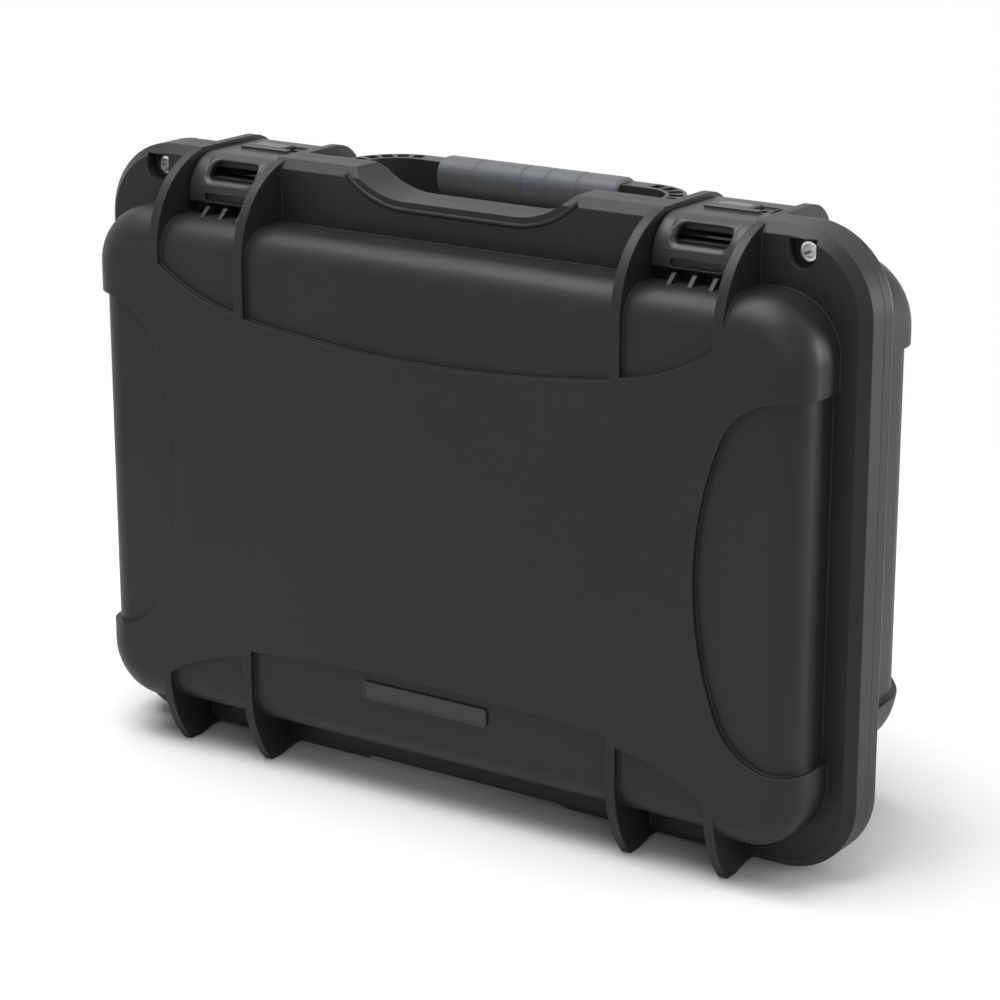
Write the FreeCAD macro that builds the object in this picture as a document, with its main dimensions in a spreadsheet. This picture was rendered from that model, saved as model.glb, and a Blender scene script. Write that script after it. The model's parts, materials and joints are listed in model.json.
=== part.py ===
import FreeCAD, Part
import os
import re
import Sketcher

# A protective hard case standing on its hinge edge. Its lid faces -Y, its length runs along X.
# Every sub-part is drawn with the parting plane of lid and base at y = 0 and the floor at z = 0,
# and its placement then shifts it so that the whole case is centred over the origin.

# Driving dimensions, in millimetres. Drops count down from the rim's top, rises up from its bottom,
# insets in from its sides, and depths away from the parting plane.
SIZES = {
    # Fits shared by all pieces
    "overrun": 6,
    "part_gap": 0.3,
    "fit_gap": 0.3,
    "pin_gap": 0.04,
    # Rims where lid and base meet
    "rim_half": 237.5,
    "rim_top": 336.5,
    "rim_bottom": 4,
    "rim_top_corner": 44,
    "rim_bottom_corner": 40,
    "lid_rim_depth": 17,
    "base_rim_depth": 10,
    "lid_rim_edge": 5,
    "base_rim_edge": 3,
    "relief_half": 62,
    "relief_rise": 3.5,
    # Walls
    "wall": 2.8,
    "panel_recess": 3.2,
    # Domed face of the lid
    "dome_inset": 14.5,
    "dome_drop": 30.5,
    "dome_rise": 19,
    "dome_corner": 32,
    "dome_edge": 20,
    "lid_depth": 53,
    # Tapered body of the base
    "body_inset": 23.5,
    "body_drop": 26.5,
    "body_rise": 23,
    "body_corner": 44,
    "body_edge": 30,
    "body_draft": 7,
    "base_depth": 110,
    # Recessed side panels
    "side_panel_width": 59,
    "side_panel_drop": 78.5,
    "side_panel_rise": 63,
    "side_panel_arc": 194,
    "side_panel_corner": 38,
    # Recessed panels along the top and bottom of the lid face
    "top_panel_drop": 80.5,
    "top_panel_arc": 764,
    "latch_bay_inner_drop": 78.5,
    "latch_bay_outer_drop": 57.5,
    "bay_arc": 110,
    "low_panel_rise": 65,
    "low_panel_arc": 1400,
    "hinge_bay_inner_rise": 60,
    "hinge_bay_outer_rise": 41,
    # Ribs beside the latches and hinges
    "rib_inset": 62,
    "rib_span": 57.9,
    "rib_thick": 5.5,
    "lid_rib_flat": 3,
    "base_rib_reach": 33,
    "base_rib_arc": 22,
    # Feet on the hinge ribs, and the guard bar between them
    "lid_foot_rise": 41,
    "lid_foot_front": 36,
    "lid_foot_back": 28,
    "rib_heel": 1.2,
    "base_foot_front": 40,
    "base_foot_back": 62,
    "base_foot_end": 84,
    # Hinge
    "knuckle_radius": 3.8,
    "knuckle_gap": 0.5,
    "hinge_pin_radius": 1.8,
    # Latch seat on the lid and base
    "lid_bay_drop": 24,
    "base_bay_drop": 18,
    "catch_inset": 1.6,
    "catch_thick": 4.4,
    "catch_rise": 9.5,
    "catch_width": 40,
    "fin_pitch": 12,
    "fin_thick": 2.6,
    "fin_reach": 16,
    "fin_gap": 0.8,
    # Latch lever
    "latch_pivot_depth": 34,
    "latch_drop": 16,
    "latch_pin_radius": 2.5,
    "lever_barrel_radius": 6.5,
    "lever_side_gap": 1,
    "lever_drop": 2.5,
    "lever_thick": 5.5,
    "lever_arc": 21,
    "lever_front_room": 8,
    "lever_bar_gap": 1,
    "lever_bar_hang": 4,
    "lever_bar_round": 2,
    "jaw_gap": 0.6,
    "window_width": 32,
    "window_drop": 3.7,
    "window_height": 9.8,
    "window_corner": 3.5,
    "window_lip": 2.2,
    "window_lip_depth": 1.2,
    "notch_width": 30,
    "notch_depth": 3,
    "notch_lip": 1.8,
    "notch_height": 4.2,
    "notch_corner": 1.5,
    "bridge_width": 31,
    "bridge_length": 4.5,
    "bridge_rise": 1.4,
    "bridge_gap": 0.8,
    "lock_hole_width": 6.5,
    "lock_hole_length": 8,
    "lock_hole_gap": 2.5,
    # Lock slide on the lever
    "slide_depth": 18,
    "slide_width": 8.6,
    "slide_foot_width": 11.6,
    "slide_foot_thick": 1.6,
    "slide_neck": 2.2,
    "slide_proud": 0.4,
    "slide_length": 20,
    "slide_travel": 8,
    # Carrying handle
    "handle_pivot_depth": 24.5,
    "handle_drop": 13,
    "handle_side_room": 4.2,
    "handle_arm_width": 11,
    "handle_thick": 15,
    "handle_bow": 32,
    "handle_pin_radius": 2.5,
    "handle_lug_gap": 0.6,
    "handle_lug_thick": 6,
    "handle_lug_radius": 9,
    "handle_lug_foot": 6,
    "grip_depth": 55,
    "grip_end_room": 47,
    "grip_width": 22,
    "grip_height": 20,
    "grip_corner": 9,
    "bar_width": 12,
    "grip_fit": 0.1,
    # Finger scoop in both rims
    "scoop_flat": 34,
    "scoop_drop": 14,
    "scoop_arc": 50,
    # Padlock bushings
    "bushing_inset": 37,
    "bushing_drop": 13,
    "bushing_radius": 5,
    "bushing_bore": 3.4,
    "bushing_floor": 9,
    "bushing_proud": 1.2,
    "bushing_pocket_half": 7.5,
    "bushing_pocket_rise": 7,
    # Seal
    "gasket_inset": 10,
    "gasket_drop": 28,
    "gasket_rise": 15,
    "gasket_corner": 34,
    "gasket_width": 5,
    "gasket_depth": 4,
    # Pressure valve
    "valve_side": 45,
    "valve_depth": 31,
    "valve_boss_radius": 13,
    "valve_boss_rise": 1,
    "valve_stem_radius": 7,
    "valve_flange_radius": 9.5,
    "valve_flange_thick": 2,
    "valve_cap_radius": 11,
    "valve_cap_thick": 4,
    "valve_seal_thick": 1,
    # Bare plate on the lower panel
    "plate_half": 40,
    "plate_rise": 53,
    "plate_height": 10,
    "plate_thick": 1.2,
    "plate_corner": 2,
}

# Places that follow from the sizes
PLACES = {
    "dome_half": "rim_half - dome_inset",
    "dome_top": "rim_top - dome_drop",
    "dome_bottom": "rim_bottom + dome_rise",
    "body_half": "rim_half - body_inset",
    "body_top": "rim_top - body_drop",
    "body_bottom": "rim_bottom + body_rise",
    "side_panel_reach": "dome_half - side_panel_width",
    "side_panel_top": "rim_top - side_panel_drop",
    "side_panel_bottom": "rim_bottom + side_panel_rise",
    "top_panel_edge": "rim_top - top_panel_drop",
    "latch_bay_inner_edge": "rim_top - latch_bay_inner_drop",
    "latch_bay_outer_edge": "rim_top - latch_bay_outer_drop",
    "low_panel_edge": "rim_bottom + low_panel_rise",
    "hinge_bay_inner_edge": "rim_bottom + hinge_bay_inner_rise",
    "hinge_bay_outer_edge": "rim_bottom + hinge_bay_outer_rise",
    "rib_outer": "rim_half - rib_inset",
    "rib_inner": "rib_outer - rib_span",
    "bay_middle": "rib_outer - rib_span / 2",
    "bay_width": "rib_span - rib_thick",
    "lid_rib_arc": "lid_depth - lid_rib_flat",
    "lid_foot_start": "rim_bottom + lid_foot_rise",
    "lid_foot_run": "lid_depth - lid_foot_front",
    "lid_foot_arc": "(lid_foot_run * lid_foot_run + lid_foot_start * lid_foot_start) / (2 * lid_foot_run)",
    "hinge_height": "rim_bottom",
    "lid_bay_floor": "rim_top - lid_bay_drop",
    "base_bay_floor": "rim_top - base_bay_drop",
    "catch_front": "lid_rim_depth - catch_inset",
    "catch_top": "lid_bay_floor + catch_rise",
    "fin_top": "lever_bar_bottom - fin_gap",
    "latch_pivot_height": "rim_top - latch_drop",
    "lever_top": "rim_top - lever_drop",
    "lever_front": "lid_rim_depth + lever_front_room",
    "lever_bend": "lever_front - lever_arc",
    "lever_bar_back": "lid_rim_depth + lever_bar_gap",
    "lever_bar_bottom": "lid_bay_floor - lever_bar_hang",
    "lever_shoulder": "lever_top - lever_arc",
    "jaw_back": "catch_front + jaw_gap",
    "handle_pivot_height": "rim_top - handle_drop",
    "handle_end_radius": "handle_thick / 2",
    "handle_lug_end": "rib_inner - rib_thick / 2 - handle_side_room",
    "handle_lug_start": "handle_lug_end - handle_lug_thick",
    "handle_arm_outer": "handle_lug_start - handle_lug_gap",
    "grip_half": "handle_arm_outer - grip_end_room",
    "scoop_floor": "rim_top - scoop_drop",
    "bushing_side": "rim_half - bushing_inset",
    "bushing_height": "rim_top - bushing_drop",
    "gasket_half": "rim_half - gasket_inset",
    "gasket_top": "rim_top - gasket_drop",
    "gasket_bottom": "rim_bottom + gasket_rise",
    "valve_boss_top": "body_top + valve_boss_rise",
    "plate_bottom": "rim_bottom + plate_rise",
    "plate_top": "plate_bottom + plate_height",
}


SIDES = {"left": -1, "right": 1}

doc = FreeCAD.newDocument("hard_case")
sheet = doc.addObject("Spreadsheet::Sheet", "Sizes")
for row, (alias, size) in enumerate(SIZES.items(), start=1):
    sheet.set(f"A{row}", alias)
    sheet.set(f"B{row}", str(size))
    sheet.setAlias(f"B{row}", alias)
doc.recompute()

sub_parts = []


def bound(text):
    """Write out the places in an expression, and read its sizes from the sheet."""
    def written(word):
        if word[0] in PLACES:
            return f"({bound(PLACES[word[0]])})"
        return f"Sizes.{word[0]}" if word[0] in SIZES else word[0]
    return re.sub(r"[a-z_]+", written, text)


def value(text):
    return float(sheet.evalExpression(bound(text)))


def new_body(label, is_sub_part=True):
    body = doc.addObject("PartDesign::Body", label)
    body.Label = label
    if is_sub_part:
        body.setExpression("Placement.Base.y", bound("(lid_depth - base_depth) / 2"))
        sub_parts.append(body)
    return body


def settled(feature):
    """Recompute, and stop at the first feature that fails."""
    doc.recompute()
    if "Invalid" in feature.State or "Error" in feature.State or feature.Shape.isNull():
        raise RuntimeError(f"{feature.Name} failed: {feature.State}")
    return feature


def arc_between(start, end, radius, turns_left):
    """Arc of under a half circle from start to end, as seen by someone walking along it."""
    chord = end - start
    rise = (radius ** 2 - (chord.Length / 2) ** 2) ** 0.5
    left = FreeCAD.Vector(-chord.y, chord.x, 0).normalize()
    centre = (start + end) / 2 + left * (rise if turns_left else -rise)
    first, last = (start, end) if turns_left else (end, start)
    low = FreeCAD.Vector(1, 0, 0).getAngle(first - centre)
    high = FreeCAD.Vector(1, 0, 0).getAngle(last - centre)
    low = low if first.y >= centre.y else -low
    high = high if last.y >= centre.y else -high
    return Part.ArcOfCircle(Part.Circle(centre, FreeCAD.Vector(0, 0, 1), radius), low, high)


def pin_point(sketch, edge, end, across, up):
    """Tie one end of a sketch edge to its place from the sketch origin."""
    for kind, axis, text in (("DistanceX", -2, across), ("DistanceY", -1, up)):
        if text == "0":
            sketch.addConstraint(Sketcher.Constraint("PointOnObject", edge, end, axis))
            continue
        index = sketch.addConstraint(Sketcher.Constraint(kind, -1, 1, edge, end, value(text)))
        sketch.setExpression(f"Constraints[{index}]", bound(text))


def draw_outline(sketch, points):
    """Closed outline. A point is (across, up), and with a radius the edge after it is an arc,
    which turns left unless the point ends with the word right."""
    places = [FreeCAD.Vector(value(point[0]), value(point[1]), 0) for point in points]
    ends = []
    for index, point in enumerate(points):
        start = places[index]
        end = places[(index + 1) % len(points)]
        if len(point) == 2:
            ends.append((sketch.addGeometry(Part.LineSegment(start, end)), 1, 2))
            continue
        turns_left = len(point) == 3
        edge = sketch.addGeometry(arc_between(start, end, value(point[2]), turns_left))
        ends.append((edge, 1, 2) if turns_left else (edge, 2, 1))
        radius = sketch.addConstraint(Sketcher.Constraint("Radius", edge, value(point[2])))
        sketch.setExpression(f"Constraints[{radius}]", bound(point[2]))
    for index, point in enumerate(points):
        edge, start, end = ends[index]
        following, following_start, following_end = ends[(index + 1) % len(points)]
        pin_point(sketch, edge, start, point[0], point[1])
        sketch.addConstraint(Sketcher.Constraint("Coincident", edge, end, following, following_start))


def draw_circle(sketch, across, up, radius):
    centre = FreeCAD.Vector(value(across), value(up), 0)
    edge = sketch.addGeometry(Part.Circle(centre, FreeCAD.Vector(0, 0, 1), value(radius)))
    index = sketch.addConstraint(Sketcher.Constraint("Radius", edge, value(radius)))
    sketch.setExpression(f"Constraints[{index}]", bound(radius))
    pin_point(sketch, edge, 3, across, up)


def new_sketch(body, name, plane, offset, outlines=(), circles=()):
    """Sketch on an origin plane: "XZ" looks along +Y, "YZ" along -X, "XY" down.
    The offset counts along the plane's normal: -Y, +X or +Z."""
    sketch = body.newObject("Sketcher::SketchObject", name)
    origin_plane = [item for item in body.Origin.OriginFeatures if item.Role == f"{plane}_Plane"][0]
    sketch.AttachmentSupport = [(origin_plane, "")]
    sketch.MapMode = "FlatFace"
    sketch.setExpression("AttachmentOffset.Base.z", bound(offset))
    for points in outlines:
        draw_outline(sketch, points)
    for circle in circles:
        draw_circle(sketch, *circle)
    return sketch


def pad(body, name, plane, offset, length, outlines=(), circles=(), backwards=False):
    """Add material from the sketch along its normal, or against it."""
    feature = body.newObject("PartDesign::Pad", name)
    feature.Profile = new_sketch(body, f"{name}_sketch", plane, offset, outlines, circles)
    feature.setExpression("Length", bound(length))
    feature.Reversed = backwards
    return settled(feature)


def pocket(body, name, plane, offset, length, outlines=(), circles=(), backwards=False):
    """Cut material from the sketch along its normal, or against it."""
    before = body.Tip.Shape.Volume
    feature = body.newObject("PartDesign::Pocket", name)
    feature.Profile = new_sketch(body, f"{name}_sketch", plane, offset, outlines, circles)
    feature.setExpression("Length", bound(length))
    feature.Reversed = not backwards
    settled(feature)
    if not feature.Shape.Volume < before:
        raise RuntimeError(f"{body.Label}: {name} cuts nothing")
    return feature


def draft(feature):
    """Slope the walls of a feature inwards, as the moulded base does."""
    feature.setExpression("TaperAngle", bound("-atan(body_draft / base_depth)"))
    return settled(feature)


def ease_edges_at_depth(body, name, depth, size, kind="Fillet"):
    """Round or chamfer every edge that lies in the plane at this depth."""
    base = body.Tip
    level = value(depth)
    picked = []
    for index, edge in enumerate(base.Shape.Edges, start=1):
        box = edge.BoundBox
        if abs(box.YMin - level) < value("pin_gap") and abs(box.YMax - level) < value("pin_gap"):
            picked.append(f"Edge{index}")
    feature = body.newObject(f"PartDesign::{kind}", name)
    feature.Base = (base, picked)
    feature.setExpression("Radius" if kind == "Fillet" else "Size", bound(size))
    return settled(feature)


def join_body(body, name, tool, kind="Fuse"):
    """Fuse a helper body into this one, or cut it away."""
    feature = body.newObject("PartDesign::Boolean", name)
    feature.Type = kind
    feature.setObjects([tool])
    return settled(feature)


def rounded_frame(half, low, high, low_radius, high_radius):
    """Upright rounded rectangle, centred across."""
    return [
        (f"-({half} - ({low_radius}))", low),
        (f"{half} - ({low_radius})", low, low_radius),
        (half, f"{low} + {low_radius}"),
        (half, f"{high} - ({high_radius})", high_radius),
        (f"{half} - ({high_radius})", high),
        (f"-({half} - ({high_radius}))", high, high_radius),
        (f"-({half})", f"{high} - ({high_radius})"),
        (f"-({half})", f"{low} + {low_radius}", low_radius),
    ]


def rounded_block(left, right, low, high, radius):
    """Upright rounded rectangle between four named places."""
    return [
        (f"{left} + {radius}", low),
        (f"{right} - ({radius})", low, radius),
        (right, f"{low} + {radius}"),
        (right, f"{high} - ({radius})", radius),
        (f"{right} - ({radius})", high),
        (f"{left} + {radius}", high, radius),
        (left, f"{high} - ({radius})"),
        (left, f"{low} + {radius}", radius),
    ]


def block(left, right, low, high):
    return [(left, low), (right, low), (right, high), (left, high)]


def mirrored(points):
    """The same outline on the other side of x = 0, still walked the same way round."""
    flipped = []
    for index in range(len(points) - 1, -1, -1):
        flipped.append((f"-({points[index][0]})", points[index][1]) + tuple(points[index - 1][2:]))
    return flipped


def on_side(side, low, high):
    """Where a span of positive places starts on the given side."""
    return low if side > 0 else f"-({high})"


# Recessed panels
def side_panel(edge):
    """Side recess: a long shallow arc that runs into two round corners."""
    middle = "(side_panel_top + side_panel_bottom) / 2"
    rise = "((side_panel_top - side_panel_bottom) / 2 - side_panel_corner)"
    reach = "(side_panel_arc - side_panel_corner)"
    run = f"sqrt({reach} * {reach} - {rise} * {rise})"
    arc_centre = "(side_panel_reach + side_panel_arc)"
    corner = f"{arc_centre} - {run}"
    join = f"{arc_centre} - {run} * side_panel_arc / {reach}"
    join_rise = f"{rise} * side_panel_arc / {reach}"
    return [
        (edge, "side_panel_top"),
        (corner, "side_panel_top", "side_panel_corner"),
        (join, f"{middle} + {join_rise}", "side_panel_arc"),
        (join, f"{middle} - {join_rise}", "side_panel_corner"),
        (corner, "side_panel_bottom"),
        (edge, "side_panel_bottom"),
    ]


def lid_panels():
    """Recesses of the lid face: the sides, and the fields between the ribs."""
    above = "dome_top + overrun"
    below = "dome_bottom - overrun"
    centre = "rib_inner - rib_thick / 2"
    near = "rib_inner + rib_thick / 2"
    far = "rib_outer - rib_thick / 2"
    top_field = [
        (f"-({centre})", "top_panel_edge", "top_panel_arc"),
        (centre, "top_panel_edge"),
        (centre, above),
        (f"-({centre})", above),
    ]
    low_field = [
        (f"-({centre})", below),
        (centre, below),
        (centre, "low_panel_edge", "low_panel_arc"),
        (f"-({centre})", "low_panel_edge"),
    ]
    latch_field = [
        (near, "latch_bay_inner_edge", "bay_arc"),
        (far, "latch_bay_outer_edge"),
        (far, above),
        (near, above),
    ]
    hinge_field = [
        (near, below),
        (far, below),
        (far, "hinge_bay_outer_edge", "bay_arc"),
        (near, "hinge_bay_inner_edge"),
    ]
    side_field = side_panel("dome_half + overrun")
    pairs = [latch_field, hinge_field, side_field]
    return [top_field, low_field] + pairs + [mirrored(field) for field in pairs]


def bushing_circles(radius):
    return [("bushing_side", "bushing_height", radius), ("-bushing_side", "bushing_height", radius)]


def scoop():
    """Finger scoop: a flat floor between two arcs, open at the top."""
    rise = "(scoop_drop + overrun)"
    reach = f"(scoop_flat + sqrt(scoop_arc * scoop_arc - (scoop_arc - {rise}) * (scoop_arc - {rise})))"
    return [
        ("-scoop_flat", "scoop_floor"),
        ("scoop_flat", "scoop_floor", "scoop_arc"),
        (reach, "rim_top + overrun"),
        (f"-{reach}", "rim_top + overrun", "scoop_arc"),
    ]


def rim_relief():
    """Shallow cut under the middle of the rims."""
    reach = "(relief_half + relief_rise + overrun)"
    return [
        (f"-{reach}", "rim_bottom - overrun"),
        (reach, "rim_bottom - overrun"),
        ("relief_half", "rim_bottom + relief_rise"),
        ("-relief_half", "rim_bottom + relief_rise"),
    ]


def bushing_pocket():
    """Pocket round a bushing: a round foot under straight sides."""
    left = "bushing_side - bushing_pocket_half"
    right = "bushing_side + bushing_pocket_half"
    top = "bushing_height + bushing_pocket_rise"
    return [
        (left, "bushing_height", "bushing_pocket_half"),
        ("bushing_side", "bushing_height - bushing_pocket_half", "bushing_pocket_half"),
        (right, "bushing_height"),
        (right, top),
        (left, top),
    ]


def build_lid_shell():
    raised = new_body("lid_raised_face", is_sub_part=False)
    dome = rounded_frame("dome_half", "dome_bottom", "dome_top", "dome_corner", "dome_corner")
    pad(raised, "dome", "XZ", "lid_rim_depth / 2", "lid_depth - lid_rim_depth / 2", [dome])
    ease_edges_at_depth(raised, "dome_rounding", "-lid_depth", "dome_edge")
    pocket(raised, "panels", "XZ", "0", "lid_depth + overrun", lid_panels())

    lid = new_body("lid_shell")
    rim = rounded_frame("rim_half", "rim_bottom", "rim_top", "rim_bottom_corner", "rim_top_corner")
    pad(lid, "rim", "XZ", "part_gap", "lid_rim_depth - part_gap", [rim])
    ease_edges_at_depth(lid, "rim_rounding", "-lid_rim_depth", "lid_rim_edge", "Chamfer")
    inset = rounded_frame("dome_half - panel_recess", "dome_bottom + panel_recess",
                          "dome_top - panel_recess", "dome_corner - panel_recess",
                          "dome_corner - panel_recess")
    pad(lid, "inner_dome", "XZ", "lid_rim_depth / 2",
        "lid_depth - panel_recess - lid_rim_depth / 2", [inset])
    ease_edges_at_depth(lid, "inner_dome_rounding", "-(lid_depth - panel_recess)",
                         "dome_edge - panel_recess")
    join_body(lid, "raised_face", raised)

    latch_rib = [
        ("-lid_depth", "latch_bay_inner_edge"),
        ("-lid_depth", "rim_top - lid_rib_arc", "lid_rib_arc", "right"),
        ("-(lid_depth - lid_rib_arc)", "rim_top"),
        ("-part_gap", "rim_top"),
        ("-part_gap", "dome_top - dome_edge"),
        ("-(lid_depth - dome_edge)", "latch_bay_inner_edge"),
    ]
    hinge_rib = [
        ("-lid_depth", "hinge_bay_inner_edge"),
        ("-lid_depth", "lid_foot_start", "lid_foot_arc"),
        ("-lid_foot_front", "0"),
        ("-lid_foot_back", "0"),
        ("-lid_rim_depth", "rim_bottom - rib_heel"),
        ("-part_gap", "rim_bottom - rib_heel"),
        ("-part_gap", "dome_bottom + dome_edge"),
        ("-(lid_depth - dome_edge)", "hinge_bay_inner_edge"),
    ]
    for side_name, side in SIDES.items():
        for place in ("rib_inner", "rib_outer"):
            start = on_side(side, f"{place} - rib_thick / 2", f"{place} + rib_thick / 2")
            pad(lid, f"latch_{place}_{side_name}", "YZ", start, "rib_thick", [latch_rib])
            pad(lid, f"hinge_{place}_{side_name}", "YZ", start, "rib_thick", [hinge_rib])
            pad(lid, f"ear_{place}_{side_name}", "YZ", start, "rib_thick",
                circles=[("0", "hinge_height", "knuckle_radius")])

    inside = "panel_recess + wall"
    cavity = rounded_frame(f"dome_half - ({inside})", f"dome_bottom + {inside}", f"dome_top - ({inside})",
                           f"dome_corner - ({inside})", f"dome_corner - ({inside})")
    hollow = new_body("lid_hollow", is_sub_part=False)
    pad(hollow, "space", "XZ", "-overrun", f"lid_depth - ({inside}) + overrun", [cavity])
    ease_edges_at_depth(hollow, "space_rounding", f"-(lid_depth - ({inside}))", f"dome_edge - ({inside})",
                        "Chamfer")
    join_body(lid, "cavity", hollow, "Cut")

    bay_width = "rib_outer - rib_inner - rib_thick"
    bay_space = block("-(lid_rim_depth + overrun)", "overrun", "lid_bay_floor", "rim_top + overrun")
    catch = block("-catch_front", "-(catch_front - catch_thick)", "lid_bay_floor - overrun", "catch_top")
    fin = [
        ("-(lid_rim_depth - lid_rim_edge)", "dome_top - panel_recess - wall / 2"),
        ("-(lid_rim_depth - lid_rim_edge)", "fin_top"),
        ("-(lever_front + fin_gap)", "fin_top"),
        ("-(lid_rim_depth + fin_reach)", "dome_top - panel_recess - wall / 2"),
    ]
    for side_name, side in SIDES.items():
        start = on_side(side, "rib_inner + rib_thick / 2", "rib_outer - rib_thick / 2")
        middle = "(rib_inner + rib_outer) / 2" if side > 0 else "-(rib_inner + rib_outer) / 2"
        pocket(lid, f"latch_bay_{side_name}", "YZ", start, bay_width, [bay_space])
        pad(lid, f"catch_{side_name}", "YZ", f"{middle} - catch_width / 2", "catch_width", [catch])
        for count, name in zip((-1, 0, 1), ("inner", "middle", "outer")):
            place = f"{middle} + {count} * fin_pitch - fin_thick / 2"
            pad(lid, f"fin_{name}_{side_name}", "YZ", place, "fin_thick", [fin])
        pocket(lid, f"knuckle_space_{side_name}", "YZ", start, bay_width,
               circles=[("0", "hinge_height", "knuckle_radius + knuckle_gap")])
    pocket(lid, "scoop", "XZ", "0", "lid_rim_depth + overrun", [scoop()])
    pocket(lid, "bushing_holes", "XZ", "0", "lid_rim_depth + overrun",
           circles=bushing_circles("bushing_radius + pin_gap"))
    pocket(lid, "bushing_pockets", "XZ", "bushing_floor", "lid_rim_depth - bushing_floor + overrun",
           [bushing_pocket(), mirrored(bushing_pocket())])
    pocket(lid, "rim_relief", "XZ", "0", "lid_rim_depth + overrun", [rim_relief()])
    for side_name, side in SIDES.items():
        pocket(lid, f"hinge_bore_{side_name}", "YZ", on_side(side, "rib_inner - rib_thick", "rib_outer + rib_thick"),
               "rib_span + 2 * rib_thick", circles=[("0", "hinge_height", "hinge_pin_radius + pin_gap")])
    pocket(lid, "gasket_groove", "XZ", "0", "part_gap + gasket_depth", gasket_ring("0"))


def gasket_ring(gap):
    """Two rounded frames that bound the seal, each widened by the gap."""
    reach = f"(gasket_width / 2 + {gap})"
    outer = rounded_frame(f"gasket_half + {reach}", f"gasket_bottom - {reach}", f"gasket_top + {reach}",
                          f"gasket_corner + {reach}", f"gasket_corner + {reach}")
    inner = rounded_frame(f"gasket_half - {reach}", f"gasket_bottom + {reach}", f"gasket_top - {reach}",
                          f"gasket_corner - {reach}", f"gasket_corner - {reach}")
    return [outer, inner]


def build_lid_gasket():
    gasket = new_body("lid_gasket")
    pad(gasket, "ring", "XZ", "part_gap", "gasket_depth", gasket_ring("0 - pin_gap"))


def body_outline(depth, inset):
    """Outline of the tapered base at a depth, moved in from the outer surface."""
    shrink = f"(body_draft * ({depth}) / base_depth + {inset})"
    return rounded_frame(f"body_half - {shrink}", f"body_bottom + {shrink}", f"body_top - {shrink}",
                         f"body_corner - {shrink}", f"body_corner - {shrink}")


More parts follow.
